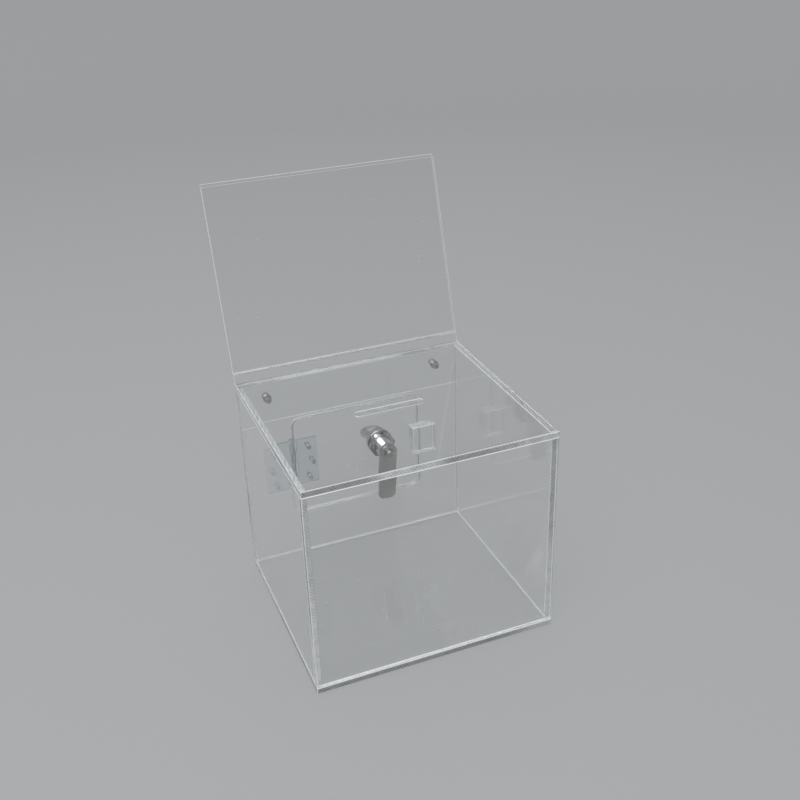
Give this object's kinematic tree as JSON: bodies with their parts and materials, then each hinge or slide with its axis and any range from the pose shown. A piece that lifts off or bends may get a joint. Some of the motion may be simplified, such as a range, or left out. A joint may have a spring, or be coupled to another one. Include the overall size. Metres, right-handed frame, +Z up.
{
  "type": "donation box",
  "caption": "Clear acrylic collection box with a coin slot in its top, a hinged door with a cam lock in its back wall and a leaning clear sign holder above it.",
  "frame": {"origin": "centre of the underside of the base panel", "axes": "+Z up, +X to the right seen from the front, the front wall faces -Y and the door is in the +Y wall"},
  "size_m": [0.2, 0.2322, 0.3333],
  "materials": {
    "clear_acrylic": "polished, clear",
    "clear_hinge": "moulded, clear",
    "fastener_steel": "zinc plated",
    "lock_plating": "bright nickel plate",
    "cam_steel": "bright plated",
    "key_nickel": "nickel plated"
  },
  "bodies": {
    "box": {"base_panel": "clear_acrylic", "top_panel": "clear_acrylic", "front_panel": "clear_acrylic", "back_panel": "clear_acrylic", "left_panel": "clear_acrylic", "right_panel": "clear_acrylic", "sign_front_sheet": "clear_acrylic", "sign_back_sheet": "clear_acrylic", "strike_block": "clear_acrylic", "hinge_wall_leaf": "clear_hinge", "hinge_pin": "fastener_steel", "hinge_wall_screws": "fastener_steel", "hinge_wall_nuts": "fastener_steel", "sign_screws": "fastener_steel", "sign_washers": "fastener_steel", "sign_nuts": "fastener_steel"},
    "door": {"access_door": "clear_acrylic", "hinge_door_leaf": "clear_hinge", "hinge_door_screws": "fastener_steel", "hinge_door_nuts": "fastener_steel", "lock_housing": "lock_plating", "lock_nut": "lock_plating"},
    "cam": {"lock_plug": "lock_plating", "lock_wafers": "lock_plating", "lock_key": "key_nickel", "stop_washer": "cam_steel", "cam_arm": "cam_steel", "cam_washer": "cam_steel", "star_washer": "cam_steel", "cam_screw": "cam_steel"}
  },
  "joints": [
    {"name": "door_swing", "type": "hinge", "parent": "box", "child": "door", "pos_m": [-0.0565, 0.0931, 0.0915], "axis": [0, 0, 1], "range_deg": [0, 135]},
    {"name": "lock_turn", "type": "hinge", "parent": "door", "child": "cam", "pos_m": [0.023, 0.09, 0.094], "axis": [0, -1, 0], "range_deg": [0, 90]}
  ]
}
